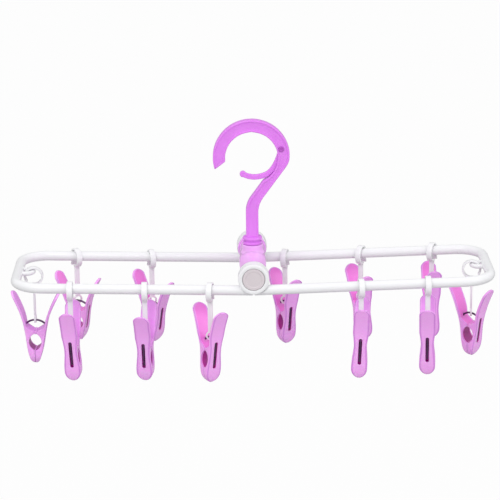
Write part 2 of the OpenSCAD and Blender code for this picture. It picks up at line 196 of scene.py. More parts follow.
def layered(outline, way, thick, place):
    # way holds pairs of inset and depth below a face, from its middle outwards, and both faces follow it
    outline = np.asarray(outline, float)
    area = (outline[:, 0] * np.roll(outline[:, 1], -1) - outline[:, 1] * np.roll(outline[:, 0], -1)).sum()
    outline = outline if area > 0 else outline[::-1]
    levels = [(i, h - thick / 2) for i, h in way] + [(i, thick / 2 - h) for i, h in way[::-1]]
    rings = []
    for i, h in levels:
        flat = inset(outline, i) if i > 1e-9 else outline
        rings.append(place(flat, np.full(len(flat), h)))
    return gridShell(np.stack(rings))


def slab(outline, thick, edge, place, steps=4):
    # an outline given thickness, with its edge rounded
    return layered(outline, roundedEdge(edge, steps), thick, place)


def panelled(outline, thick, edge, rim, sink, place, steps=4):
    # a slab whose two faces lie a little below a raised rim: down by sink over the same way in
    lip = [(rim + sink, sink), (rim + sink * 0.4, sink * 0.85), (rim, sink * 0.25), (rim - sink * 0.4, 0)]
    return layered(outline, lip + roundedEdge(edge, steps), thick, place)


def standing(flat, depth):
    # an outline in x and z, with its depth along -y
    return np.stack([flat[:, 0], -depth, flat[:, 1]], 1)


def placed(name, content):
    # puts a mesh, lamp or camera into the scene
    holder = bpy.data.objects.new(name, content)
    bpy.context.scene.collection.objects.link(holder)
    return holder


def reshaped(mesh, change):
    # runs all points of a mesh through change, in millimetres
    co = np.empty(len(mesh.vertices) * 3)
    mesh.vertices.foreach_get("co", co)
    mesh.vertices.foreach_set("co", (change(co.reshape(-1, 3) / mm) * mm).reshape(-1))
    mesh.update()


def makePiece(name, shell, sharpAngle=38):
    # caps stay flat, the other faces are smooth, and edges sharper than sharpAngle stay sharp
    points, faces, tone = shell
    mesh = bpy.data.meshes.new(name)
    mesh.from_pydata((np.asarray(points) * mm).tolist(), [], faces)
    mesh.attributes.new("tone", "FLOAT", "POINT").data.foreach_set("value", tone.astype(np.float32))
    smooth = np.array([len(f) <= 4 for f in faces])
    mesh.polygons.foreach_set("use_smooth", smooth)
    mesh.set_sharp_from_angle(angle=math.radians(sharpAngle))
    mesh.polygons.foreach_set("use_smooth", smooth)
    mesh.validate()
    mesh.update()
    return placed(name, mesh)


def cutAway(piece, cutters, sharpAngle=38):
    # takes the closed cutter shapes out of the piece for good
    for number, shell in enumerate(cutters):
        tool = makePiece(f"{piece.name}Cutter{number}", shell)
        change = piece.modifiers.new("cut", "BOOLEAN")
        change.operation, change.solver, change.object = "DIFFERENCE", "EXACT", tool
        bpy.context.view_layer.update()
        seen = piece.evaluated_get(bpy.context.evaluated_depsgraph_get())
        mesh = bpy.data.meshes.new_from_object(seen)
        piece.modifiers.clear()
        old, piece.data = piece.data, mesh
        mesh.name = old.name
        bpy.data.meshes.remove(old)
        toolMesh = tool.data
        bpy.data.objects.remove(tool)
        bpy.data.meshes.remove(toolMesh)
    piece.data.set_sharp_from_angle(angle=math.radians(sharpAngle))


class Signal:
    # wraps a shader socket so that sums can be written as Python expressions
    def __init__(self, shader, socket):
        self.shader, self.socket = shader, socket

    def calculate(self, operation, first, second):
        return self.shader.add("ShaderNodeMath", {"operation": operation}, {0: first, 1: second})

    def __add__(self, other):
        return self.calculate("ADD", self, other)

    def __radd__(self, other):
        return self.calculate("ADD", other, self)

    def __sub__(self, other):
        return self.calculate("SUBTRACT", self, other)

    def __rsub__(self, other):
        return self.calculate("SUBTRACT", other, self)

    def __mul__(self, other):
        return self.calculate("MULTIPLY", self, other)

    def __rmul__(self, other):
        return self.calculate("MULTIPLY", other, self)


class Shader:
    # a node tree, with one method that adds any node
    def __init__(self, tree):
        self.tree = tree

    def add(self, kind, settings=None, values=None, out=0):
        node = self.tree.nodes.new(kind)
        for key, value in (settings or {}).items():
            setattr(node, key, value)
        for key, value in (values or {}).items():
            self.feed(node.inputs[key], value)
        return Signal(self, node.outputs[out])

    def feed(self, socket, value):
        if isinstance(value, Signal):
            self.tree.links.new(value.socket, socket)
        elif isinstance(value, (tuple, list)) and len(value) == 3 and socket.type == "RGBA":
            socket.default_value = (*value, 1)
        else:
            socket.default_value = value

    def noise(self, scale, detail=2.0, rough=0.5):
        where = self.add("ShaderNodeTexCoord", out="Object")
        return self.add("ShaderNodeTexNoise", None,
                        {"Vector": where, "Scale": scale, "Detail": detail, "Roughness": rough})

    def mix(self, factor, a, b):
        return self.add("ShaderNodeMix", {"data_type": "RGBA"}, {0: factor, 6: a, 7: b}, out=2)

    def ramp(self, value, zeroAt, oneAt):
        # runs evenly from 0 to 1 between two values, and stays there outside them
        return self.add("ShaderNodeMapRange", None, {0: value, 1: zeroAt, 2: oneAt, 3: 0.0, 4: 1.0})

    def attribute(self, name):
        return self.add("ShaderNodeAttribute", {"attribute_name": name}, out="Fac")


class Finish(Shader):
    # one material and its surface
    def __init__(self, name):
        self.material = bpy.data.materials.new(name)
        self.material.use_nodes = True
        super().__init__(self.material.node_tree)
        self.surface = self.tree.nodes["Principled BSDF"]

    def set(self, **values):
        for key, value in values.items():
            self.feed(self.surface.inputs[key.replace("_", " ")], value)


def linear(r, g, b):
    # an 8-bit screen colour as the light values that a shader takes
    v = np.array([r, g, b], float) / 255
    return tuple(np.where(v <= 0.04045, v / 12.92, ((v + 0.055) / 1.055) ** 2.4).tolist())


finishes = {}
# levels of the attribute tone; plastic() turns them into painted shade: darker rims, pinker insides, darkest
# gap and slot
tones = {"rim": 0.1, "face": 0.3, "side": 0.36, "inside": 0.65, "mouth": 0.7, "gap": 0.92, "deep": 1.0}


def plastic(name, look):
    # moulded plastic: faint flow marks in the colour, painted shade where the attribute tone says so,
    # and a skin of fine unevenness in gloss and bump
    f = Finish(name)
    base = f.mix(f.noise(look["flowScale"], 3.0, 0.6) * look["flow"], look["colour"], look["flowColour"])
    if "rim" in look:
        # the attribute runs from the rims at 0 over the faces and the insides to the deep places at 1: painted
        # shade
        tone = f.attribute("tone")
        base = f.mix(f.ramp(tone, tones["face"], 0.0), base, look["rim"])
        base = f.mix(f.ramp(tone, tones["face"], tones["inside"]), base, look["inside"])
        base = f.mix(f.ramp(tone, tones["inside"], tones["deep"]), base, look["deep"])
    skin = f.noise(look["skinScale"], 4.0, 0.55)
    f.set(Base_Color=base, Roughness=look["rough"] + (skin - 0.5) * look["roughRange"], IOR=1.49)
    if "under" in look:
        f.set(Subsurface_Weight=look["under"], Subsurface_Radius=look["underRadius"],
              Subsurface_Scale=look["underScale"])
    bump = f.add("ShaderNodeBump", None, {"Strength": look["bump"], "Distance": 0.0002, "Height": skin})
    f.set(Normal=bump)
    finishes[name] = f.material


plastic("hookViolet", {
    "colour": linear(230, 137, 242), "flowColour": linear(220, 120, 236), "flow": 0.7, "flowScale": 60.0,
    "skinScale": 900.0, "rough": 0.32, "roughRange": 0.12, "bump": 0.05,
    "under": 0.15, "underRadius": (1.0, 0.45, 1.0), "underScale": 0.003,
})
# darker than the hook: painted shade for the dark ring round the pin's head
plastic("pinShadedViolet", {
    "colour": linear(184, 84, 196), "flowColour": linear(168, 70, 182), "flow": 0.6, "flowScale": 300.0,
    "skinScale": 1500.0, "rough": 0.2, "roughRange": 0.1, "bump": 0.04,
})
pegLook = {
    "colour": linear(246, 178, 255), "flowColour": linear(255, 180, 250), "flow": 1.0, "flowScale": 45.0,
    # painted shade: darker violet on the rounded edges, pinker on the insides, dark magenta in the gap and the
    # slot
    "rim": linear(190, 110, 206), "inside": linear(246, 164, 252), "deep": linear(166, 14, 138),
    "skinScale": 1100.0, "rough": 0.26, "roughRange": 0.12, "bump": 0.04,
    "under": 0.3, "underRadius": (1.0, 0.4, 0.9), "underScale": 0.004,
}
plastic("pegViolet", pegLook)
# the same plastic with a pinker painted shade on the insides
plastic("pegPinkShade", {**pegLook, "inside": linear(255, 140, 232)})
plastic("barrelLavender", {
    "colour": linear(246, 190, 254), "flowColour": linear(242, 168, 250), "flow": 0.8, "flowScale": 70.0,
    "skinScale": 900.0, "rough": 0.24, "roughRange": 0.1, "bump": 0.03,
    "under": 0.3, "underRadius": (1.0, 0.7, 1.0), "underScale": 0.004,
})
plastic("tubeWhite", {
    "colour": linear(240, 240, 242), "flowColour": linear(232, 233, 236), "flow": 0.6, "flowScale": 25.0,
    "skinScale": 700.0, "rough": 0.3, "roughRange": 0.12, "bump": 0.03,
    "under": 0.1, "underRadius": (1.0, 0.9, 1.0), "underScale": 0.002,
})
plastic("capGrey", {
    "colour": linear(218, 209, 213), "flowColour": linear(208, 198, 204), "flow": 0.6, "flowScale": 120.0,
    "skinScale": 1200.0, "rough": 0.5, "roughRange": 0.14, "bump": 0.08,
})
# the dark purple colour is partly the wire's own dark steel and partly painted shade of the slots it lies in
steel = {
    "colour": linear(82, 52, 88), "patchColour": linear(116, 88, 122), "patchScale": 450.0,
    "markScale": 3500.0, "metal": 0.9, "rough": 0.3, "roughRange": 0.2, "bump": 0.1,
}


def wireSteel():
    # spring steel: fine drawing marks that run with the wire, a little duller in patches
    f = Finish("wireSteel")
    patches = f.noise(steel["patchScale"], 3.0)
    marks = f.noise(steel["markScale"], 2.0)
    f.set(Base_Color=f.mix(patches, steel["colour"], steel["patchColour"]), Metallic=steel["metal"],
          Roughness=steel["rough"] + (patches - 0.5) * steel["roughRange"])
    bump = f.add("ShaderNodeBump", None, {"Strength": steel["bump"], "Distance": 0.0001, "Height": marks})
    f.set(Normal=bump)
    finishes["wireSteel"] = f.material


wireSteel()
print("finishes made", len(finishes))


def finishPiece(piece, finish, slot, body, *nodes):
    piece.data.materials.clear()
    piece.data.materials.append(finishes[finish])
    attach(piece, body)
    if nodes:
        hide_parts(*nodes)


hook = {
    "outer": 31.0, "band": 10.8, "notch": 1.2, "thick": 8.0, "edge": 0.6, "shankWidth": 10.0,
    "trimIn": 0.8, "trimOut": 0.25, "notchHalf": 13.0, "rim": 1.5, "sink": 0.5, "tipRound": 1.6,
    "neckSlope": 53.5, "neckWidth": 8.0, "neckIn": 4.3, "neckBend": 7.0, "ringBend": 16.0,
    "tipAngle": 187.0, "tipSlant": 36.5, "bossTop": 15.0, "gap": 0.3, "stemRadius": 3.45, "stemShown": 10.0,
}
collar = {"radius": 7.75, "height": 5.8, "groove": 1.4, "soft": 0.4, "shoulder": 1.0}
hook["inner"] = hook["outer"] - hook["band"]
ringCentre = np.array([0.0, -hook["inner"] - hook["notch"]])
collarLow = -axle["drop"] + hook["bossTop"] + hook["gap"]
shankLow = collarLow + collar["height"]


def hookOutline():
    # once round: over the top from the tip, down the straight neck and shank, back up and round the inside
    # the ring is trimmed to stay inside the solid, and two flats meet at the top of the notch
    h, c = hook, ringCentre
    wide, hole = h["outer"] - h["trimOut"], h["inner"] + h["trimIn"]
    slant, drop = heading(h["tipSlant"]), np.array([0.0, -1.0])
    side, down = heading(h["neckSlope"] - 90), -heading(h["neckSlope"])
    reach = h["outer"] - h["neckIn"]
    inner = reach - h["neckWidth"]
    # the slanted end runs from the tip of the inner circle to where it meets the outer one
    tip = onCircle(c, hole, h["tipAngle"])
    b = 2 * (tip - c) @ -slant
    length = (-b + math.sqrt(b * b - 4 * ((tip - c) @ (tip - c) - wide ** 2))) / 2
    outerTip = tip - slant * length
    tipTurn = math.degrees(math.atan2(outerTip[1] - c[1], outerTip[0] - c[0])) % 360
    soften = math.degrees(h["tipRound"] / hole)
    # where the neck's two straight sides leave the outer circle and join the inner one
    leaves = h["neckSlope"] - 90 + math.degrees(math.acos(reach / wide))
    joins = h["neckSlope"] - 90 - math.degrees(math.acos(inner / hole))
    turnOff, onRing = onCircle(c, wide, leaves), onCircle(c, wide, leaves + h["ringBend"])
    half, bend, soft = h["shankWidth"] / 2, h["neckBend"], h["neckBend"] * 0.34

    def shankBend(distance, x):
        # from a side of the neck, at this distance from the ring's centre, into a side of the shank at x
        p = c + side * distance
        corner = p + down * ((x - p[0]) / down[0])
        above, below = (corner - down * r for r in (bend, soft)), (corner + drop * r for r in (soft, bend))
        return pulled(*above, *below, 14)

    return cleaned(np.concatenate([
        pulled(outerTip + slant * h["tipRound"], outerTip, outerTip, onCircle(c, wide, tipTurn - soften), 6),
        arc(c, wide, tipTurn - soften, leaves + h["ringBend"], 72)[1:],
        pulled(onRing, turnOff * 0.8 + onRing * 0.2, turnOff, turnOff + down * bend, 12)[1:],
        shankBend(reach, half),
        [[half, shankLow], [-half, shankLow]],
        shankBend(inner, -half)[::-1],
        arc(c, hole, joins, 90 - h["notchHalf"], 46),
        [[0.0, 0.0]],
        arc(c, hole, 90 + h["notchHalf"], h["tipAngle"] - soften, 44),
        pulled(onCircle(c, hole, h["tipAngle"] - soften), tip, tip, tip - slant * h["tipRound"], 6)[1:],
    ]))


def collarShell():
    # two rings with a groove between them, and the stem below
    r, soft, groove, shoulder = (collar[k] for k in ("radius", "soft", "groove", "shoulder"))
    third = collar["height"] / 3
    upper, lower, stemLow = shankLow - third, shankLow - 2 * third, collarLow - hook["stemShown"]
    profile = [
        (0, shankLow + soft), (r - shoulder, shankLow + soft), (r - shoulder * 0.3, shankLow + soft / 4),
        (r, shankLow - shoulder / 2), (r, upper + soft), (r - soft, upper), (r - groove, upper - soft / 4),
        (r - groove, lower + soft / 4), (r - soft, lower), (r, lower - soft), (r, collarLow + soft),
        (r - soft, collarLow), (hook["stemRadius"], collarLow), (hook["stemRadius"], stemLow), (0, stemLow),
    ]
    return turnedProfile(profile[::-1], (0, 0, 0), (0, 0, 1), 48)


# places of the gate are measured from the centre of the ring, except the last pull, from the pin
gate = {
    "thick": 3.4, "width": 5.0, "tipRadius": 3.4, "eyeRadius": 3.1,
    "tip": (-6.4, -14.6), "tipPulls": ((-2, -16.6), (6, -17.2)), "knee": (12.4, -13.8),
    "kneePull": (18, -10.6), "pinPull": (-1.4, -8.0),
    "slim": 0.9, "edge": 0.7, "nub": 2.5, "nubShift": (-0.6, 1.0), "nubPoints": 8,
    "fanTop": 3.4, "fanFrom": -1.0, "fanTo": -9.0, "roomEdge": 0.02,
}
# the head's profile is radius and distance from the middle of the hook: dished, with a raised ring
pin = {
    "angle": 17.0, "fromInside": 4.5,
    "head": [(0, 4.4), (0.9, 4.42), (1.2, 4.7), (1.6, 4.78), (2.0, 4.6), (2.15, 4.2), (2.15, 3.4), (1.2, 3.4)],
}
pinCentre = onCircle(ringCentre, hook["inner"] + pin["fromInside"], pin["angle"])
knee = ringCentre + gate["knee"]
gateLine = cleaned(np.concatenate([
    pulled(ringCentre + gate["tip"], *(ringCentre + p for p in gate["tipPulls"]), knee, 14),
    pulled(knee, ringCentre + gate["kneePull"], pinCentre + gate["pinPull"], pinCentre, 14),
]))


def bandOutline(line, width, tipRadius, eyeRadius):
    # both sides of the line, closed by a round tip and a round eye
    tangent = tangents(line)
    left = np.stack([-tangent[:, 1], tangent[:, 0]], 1)
    startTurn = math.degrees(math.atan2(tangent[0, 1], tangent[0, 0]))
    endTurn = math.degrees(math.atan2(tangent[-1, 1], tangent[-1, 0]))
    tipOpen = math.degrees(math.asin(width / 2 / tipRadius))
    eyeOpen = math.degrees(math.asin(width / 2 / eyeRadius))
    inTip = int(np.searchsorted(np.linalg.norm(line - line[0], axis=1), tipRadius))
    inEye = len(line) - int(np.searchsorted(np.linalg.norm(line - line[-1], axis=1)[::-1], eyeRadius))
    body = slice(inTip, inEye)
    return cleaned(np.concatenate([
        line[body] - left[body] * width / 2,
        arc(line[-1], eyeRadius, endTurn - 180 + eyeOpen, endTurn + 180 - eyeOpen, 22),
        (line[body] + left[body] * width / 2)[::-1],
        arc(line[0], tipRadius, startTurn + tipOpen, startTurn + 360 - tipOpen, 22),
    ]))


def gateRoom():
    # the slot in the hook: the gate's own outline grown a little, and the fan that it sweeps inside the ring
    gap = hook["gap"]
    grown = bandOutline(gateLine, gate["width"] + 2 * gap, gate["tipRadius"] + gap, gate["eyeRadius"] + gap)
    top = [pinCentre + [x, gate["fanTop"]] for x in (gate["fanFrom"], gate["fanTo"])]
    fan = np.concatenate([gateLine[3:], [*top, ringCentre]])
    return [slab(flat, gate["thick"] + 2 * gap, gate["roomEdge"], standing, 1) for flat in (grown, fan)]


def gateShell():
    # slimmer than its solid, with the last points of the free end pulled up: shift * (share of the way)^2
    line = gateLine.copy()
    share = np.linspace(1, 0, gate["nubPoints"])[:, None]
    line[:gate["nubPoints"]] += share ** 2 * np.array(gate["nubShift"])
    flat = bandOutline(line, gate["width"] - gate["slim"], gate["nub"], gate["eyeRadius"])
    return slab(flat, gate["thick"], gate["edge"], standing)


railHook = makePiece("railHook", panelled(
    hookOutline(), hook["thick"], hook["edge"], hook["rim"], hook["sink"], standing), 30)
cutAway(railHook, gateRoom())
finishPiece(railHook, "hookViolet", "hook_violet", "hook", "swivel_hook")
hookCollar = makePiece("hookCollar", collarShell())
finishPiece(hookCollar, "hookViolet", "hook_violet", "hook", "swivel_hook")
hookGate = makePiece("hookGate", gateShell())
finishPiece(hookGate, "hookViolet", "hook_violet", "gate", "hook_gate")
gatePin = makePiece("gatePin", turnedProfile(
    [(r, -h) for r, h in pin["head"]] + pin["head"][::-1], (pinCentre[0], 0, pinCentre[1]), (0, 1, 0), 32))
finishPiece(gatePin, "pinShadedViolet", "hook_violet", "hook", "gate_pin")
print("hook, gate and pin made")

# the boss's flare is distance outside its radius and height above the axle
hub = {
    "barrel": 10.4, "wall": 2.4, "half": 37.05, "soft": 0.5,
    "bandHalf": 9.0, "bandStep": 0.4, "bandRise": 0.25, "bossRadius": 8.35, "stemGap": 0.1,
    "bossFlare": ((1.3, 8.0), (0.7, 9.4), (0.15, 10.6), (0, 12.0), (0, 14.4), (-0.5, 14.95)),
}
cap = {"radius": 8.75, "face": 51.45, "thick": 1.5, "soft": 0.4, "dish": 0.35, "dishRadius": 6.2}


def barrelShell():
    # a barrel with a slightly raised band in its middle, and the boss that holds the hook's stem
    r, end, soft, band = hub["barrel"], hub["half"], hub["soft"], hub["bandHalf"]
    half = [(r + hub["bandRise"], band - hub["bandStep"]), (r, band), (r, end - soft), (r - soft, end),
            (r - hub["wall"], end)]
    stem = hook["stemRadius"] + hub["stemGap"]
    boss = [(hub["bossRadius"] + out, height) for out, height in hub["bossFlare"]]
    boss = [(stem, boss[0][1]), *boss, (stem, hook["bossTop"])]
    return joined(turnedProfile([(r, -h) for r, h in half[::-1]] + half, axlePoint, (0, 1, 0), 64),
                  turnedProfile(boss, axlePoint, (0, 0, 1), 48))


def capShell(sign):
    # a disc with a shallow dish in its face
    r, face, soft, back = cap["radius"], cap["face"], cap["soft"], cap["face"] - cap["thick"]
    dish, low = cap["dishRadius"], face - cap["dish"]
    profile = [(0, low), (dish, low), (dish + soft, face),
               (r - soft, face), (r, face - soft), (r, back), (0, back)]
    return turnedProfile(profile[::-1], axlePoint, (0, sign, 0), 64)


finishPiece(makePiece("hubBarrel", barrelShell()), "barrelLavender", "lavender", "hub", "hub_barrel")
for sideName, sign in (("front", -1), ("rear", 1)):
    finishPiece(makePiece(f"{sideName}Cap", capShell(sign)), "capGrey", "cap_grey", "hub", f"{sideName}_cap")
for node, finish in (("front_plug", "barrelLavender"), ("rear_plug", "barrelLavender"),
                     ("pivot_axle", "wireSteel"), ("stem_retainer", "wireSteel")):
    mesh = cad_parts[node].data
    mesh.materials.clear()
    mesh.materials.append(finishes[finish])
print("hub made")

# the knuckles reach along the axle from the first to the second distance of outer and inner
tube = {
    "endX": 189.0, "halfWidth": 46.0, "radius": 4.0, "corner": 22.0, "rise": 1.5, "drop": 10.3, "start": 0.5,
    "knuckle": 12.3, "knuckleEdge": 0.9, "outer": (46.15, 51.65), "inner": (40.35, 45.85), "boreGap": 0.05,
    "recess": 9.05, "recessDeep": 2.0, "eyeRadius": 1.8, "eyeReach": 12.0, "eyeHalf": 6.0,
    "room": 0.5, "roomIn": 30.0, "roomOut": 60.0,
}


def frameShells():
    # the left half's tube and eyelet, lying flat with the axle along y through the origin
    t = tube
    bend = t["endX"] - t["corner"]
    straight = t["halfWidth"] - t["corner"]
    flat = np.concatenate([
        between((-t["start"], -t["halfWidth"]), (-bend, -t["halfWidth"]), 24),
        arc((-bend, -straight), t["corner"], -90, -180, 18)[1:],
        between((-t["endX"], -straight), (-t["endX"], straight), 10)[1:],
        arc((-bend, straight), t["corner"], 180, 90, 18)[1:],
        between((-bend, t["halfWidth"]), (-t["start"], t["halfWidth"]), 24)[1:],
    ])
    leg = t["eyeReach"] - t["eyeHalf"] - t["endX"]
    eye = np.concatenate([
        between((-t["endX"], -t["eyeHalf"]), (leg, -t["eyeHalf"]), 5),
        arc((leg, 0), t["eyeHalf"], -90, 90, 22)[1:],
        between((leg, t["eyeHalf"]), (-t["endX"], t["eyeHalf"]), 5)[1:],
    ])
    return [pipe(np.column_stack([line, np.full(len(line), -t["drop"])]), radius, sides, (0, 0, 1))
            for line, radius, sides in ((flat, t["radius"], 28), (eye, t["eyeRadius"], 16))]


def knuckleShells():
    # the front one is outside, with a recess for the cap, and the rear one is inside
    t, r, e = tube, tube["knuckle"], tube["knuckleEdge"]
    bore = axle["radius"] + t["boreGap"]

    def knuckle(near, far, *recess):
        # out from the bore along the near face, over two softened edges, and back along the far face
        start = (bore, near)
        return [start, (r - e, near), (r - e * 0.3, near + e * 0.3), (r, near + e),
                (r, far - e), (r - e * 0.3, far - e * 0.3), (r - e, far), *recess, start]

    far, floor = t["outer"][1], t["outer"][1] - t["recessDeep"]
    recess = [(t["recess"] + 0.5, far), (t["recess"] + 0.1, far - 0.2), (t["recess"], far - 0.5),
              (t["recess"], floor), (bore, floor)]
    return (turnedProfile(knuckle(*t["outer"], *recess), (0, 0, 0), (0, -1, 0), 64),
            turnedProfile(knuckle(*t["inner"], (bore, t["inner"][1])), (0, 0, 0), (0, 1, 0), 64))


def axleRoom(y0, y1):
    # a drum round the axle between two places along it, which the end of a tube leaves free
    room = tube["knuckle"] + tube["room"]
    return turnedProfile([(0, y0), (room, y0), (room, y1), (0, y1)], (0, 0, 0), (0, 1, 0), 64)


def bothArms():
    for side, spin in (("left", 0), ("right", 180)):
        tubeShell, eyeShell = frameShells()
        bar = makePiece(f"{side}FrameTube", tubeShell)
        front, rear = (-tube["outer"][0], -tube["roomIn"]), (tube["inner"][1], tube["roomOut"])
        cutAway(bar, [axleRoom(*front), axleRoom(*rear)])
        knuckles = makePiece(f"{side}FrameKnuckles", joined(eyeShell, *knuckleShells()))
        for piece in (bar, knuckles):
            reshaped(piece.data, lambda q: turned(raised(q, tube["rise"]), spin, axlePoint))
            finishPiece(piece, "tubeWhite", "white", f"{side}_arm", f"{side}_frame")


bothArms()
print("frame halves made")

# where the pegs hang: name, bar (-1 front, 1 rear, 0 end), distance from the axle (on an end bar the side),
# turn of the link, and turn, lean and tilt of the peg
pegs = [
    ("a", 0, -1, 90, 87, 3, 2), ("b", -1, -144.8, 0, -5, 1.5, 0), ("c", -1, -86, 0, -10, -2, 4),
    ("d", -1, -34.4, -10, 30, -2, -2), ("e", -1, 84.6, 4, -5, -3, -2), ("f", -1, 137.4, 0, -6, 0, 3),
    ("g", 1, -145, 25, 68, 12, 5), ("h", 1, -83, 15, 49, 9, 8), ("j", 1, 27, -15, 28, 2, 2),
    ("k", 1, 90, -25, 16, 5, 1), ("l", 1, 149, -25, 3, 0, -3), ("m", 0, 1, -95, -132, -5, -2),
]
# on these pegs the insides are painted with the pinker shade
pinkShadedInsides = "dghjklm"  # the pegs whose insides show
wire = {"diameter": 1.6, "arch": 10.8, "archTurn": 44.0, "bend": 2.2, "lean": 9.7, "leg": 17.5, "sides": 12}
link = {
    "width": 4.5, "thick": 1.6, "edge": 0.35, "drop": 37.2, "turnMost": 25.0, "play": 0.74, "seat": 0.3,
    "lift": 3.4, "stemIn": 0.25, "tab": 3.8, "tabRise": 1.2, "tabDrop": 0.15, "hole": 2.4, "ease": 0.15,
    "dip": 0.75, "drill": 3.0,
    "mouth": (-78.0, -38.0), "mouthStep": 4.0, "tail": 3.4, "tailStart": 0.9, "tailTurn": -62.0,
}
most = math.radians(link["turnMost"])
link["loop"] = tube["radius"] / math.cos(most) + link["width"] / 2 * math.tan(most) + link["play"]


def wirePoint(bar, distance, linkTurn):
    # the middle of the wire's arch: below the raised bar by the loop's fall and the link's length
    side = distance if bar == 0 else (1 if distance > 0 else -1)
    out = tube["endX"] - tube["eyeReach"] if bar == 0 else abs(distance)
    rise = math.radians(tube["rise"])
    barRadius = tube["eyeRadius"] if bar == 0 else tube["radius"]
    sag = tube["eyeHalf"] - math.sqrt(tube["eyeHalf"] ** 2 - (link["width"] / 2) ** 2)
    lift = sag if bar == 0 else link["lift"] * math.sin(math.radians(linkTurn)) ** 2
    fall = link["loop"] - barRadius - link["seat"] - lift
    return np.array([
        side * (out * math.cos(rise) + tube["drop"] * math.sin(rise)), bar * tube["halfWidth"],
        out * math.sin(rise) - tube["drop"] * math.cos(rise) - axle["drop"] - fall - link["drop"],
    ])


def linkPieces():
    # a band round the bar, open low at the back, and a flat stem that ends in a ring for the wire
    k = link
    centre, middle = (0.0, k["drop"]), k["loop"] + k["thick"] / 2
    tail = heading(k["tailTurn"])
    free = onCircle(centre, middle, k["mouth"][1])
    flat = np.concatenate([
        between(free + tail * k["tail"], free + tail * k["tailStart"], 4),
        arc(centre, middle, k["mouth"][1] + k["mouthStep"], 360 + k["mouth"][0], 44),
    ])
    band = strip(np.column_stack([np.zeros(len(flat)), flat]), (1, 0, 0), k["width"], k["thick"], k["edge"])
    tabZ = k["hole"] - wire["diameter"] / 2 - k["tabDrop"]
    half = k["width"] / 2 - k["stemIn"]
    top, low = k["drop"] - middle, tabZ + k["tab"] + k["tabRise"]
    opening = math.degrees(math.asin(half / k["tab"]))
    outline = np.concatenate([
        [[half, top - 3], [half + k["stemIn"], top], [-half - k["stemIn"], top], [-half, top - 3]],
        between((-half, top - 4), (-half, low), 3),
        arc((0, tabZ), k["tab"], 90 + opening, 450 - opening, 36),
        between((half, low), (half, top - 4), 3),
    ])
    stem = makePiece("linkForm", slab(outline, k["thick"], k["edge"], standing))
    bore, deep = k["hole"] + k["ease"], k["drill"]
    drill = [(0, -deep), (bore, -deep), (bore, deep), (0, deep)]
    cutAway(stem, [turnedProfile(drill, (0, 0, tabZ), (0, 1, 0), 32)])
    return stem, makePiece("linkLoop", band)


# the pulls shape the curves of a half's outside and blade: distance out and height, some from an end point
peg = {
    "handleWidth": 14.0, "waist": 10.2, "jaw": 12.8, "handleTop": 24.3, "handleOut": 19.8,
    "bottom": -37.2, "toe": 0.15, "shoulder": 9.3, "shoulderZ": -4.9,
    "gapHalf": 7.3, "gapWide": 5.1, "gapDrop": 0.6, "toePull": 5.6, "shoulderPull": (-2.1, -10.0),
    "risePull": (0.9, 3.0), "handlePull": (-5.6, 13.0), "handleRound": 0.7,
    "bladeStart": (-1.95, 0.3), "bladePulls": ((-1.1, 3.4), (-7.6, 13.6)), "bladeTop": -1.7,
    "fulcrum": -9.6, "ribRadius": 1.4, "ribRise": 0.7, "ribIn": 0.5, "ribShadeTone": 0.5, "seam": 0.07, "web": 0.9,
    "edge": 0.75, "inEdge": 0.4, "edgeShare": 0.45, "thin": 0.12, "foot": 8.6, "footPower": 0.64, "rimIn": 1.1,
    "slot": 2.8, "slotLength": 20.1, "slotFloor": 0.4, "slotLip": 0.25,
    "waistZ": -10.0, "paddleZ": 10.0, "jawZ": -27.0, "springZ": -3.0, "springOut": 7.0,
}


def wirePath():
    # arch, tight bend and sloping leg, then the mirror image: distance out, height
    w = wire
    out = heading(-w["lean"])
    bendCentre = np.array([0, -w["arch"]]) + (w["arch"] - w["bend"]) * heading(90 - w["archTurn"])
    legTop = bendCentre + w["bend"] * out
    legEnd = legTop + w["leg"] * np.array([out[1], -out[0]])
    half = np.concatenate([
        arc((0, -w["arch"]), w["arch"], 90, 90 - w["archTurn"], 16),
        arc(bendCentre, w["bend"], 90 - w["archTurn"], -w["lean"], 10)[1:],
        between(legTop, legEnd, 12)[1:],
    ])
    return np.concatenate([half[:0:-1] * [-1, 1], half]), legTop


def pegLevels(gapZ, slotTop, slotLow):
    # the heights of the layers: even along the straight, closer at the round ends, the gap and the slot's ends
    p = peg
    top, low = p["handleTop"] - p["handleWidth"] / 2, p["bottom"] + p["jaw"] / 2
    ends = degrees(np.linspace(0, 90, 11))
    slotEnd = p["slot"] / 2 * (1 - np.cos(ends[::2]))
    rib = p["fulcrum"] + p["ribRise"]
    return np.unique(np.round(np.concatenate([
        low - p["jaw"] / 2 * np.sin(ends[::-1]), top + p["handleWidth"] / 2 * np.sin(ends),
        np.linspace(low, top, 46), gapZ + p["gapHalf"] * np.sin(np.linspace(-1.5708, 1.5708, 17)),
        slotTop - slotEnd, slotLow + slotEnd,
        [slotTop + 0.05, slotLow - 0.05, rib, rib + 0.05, gapZ + p["gapHalf"] - 0.01],
    ]), 3))


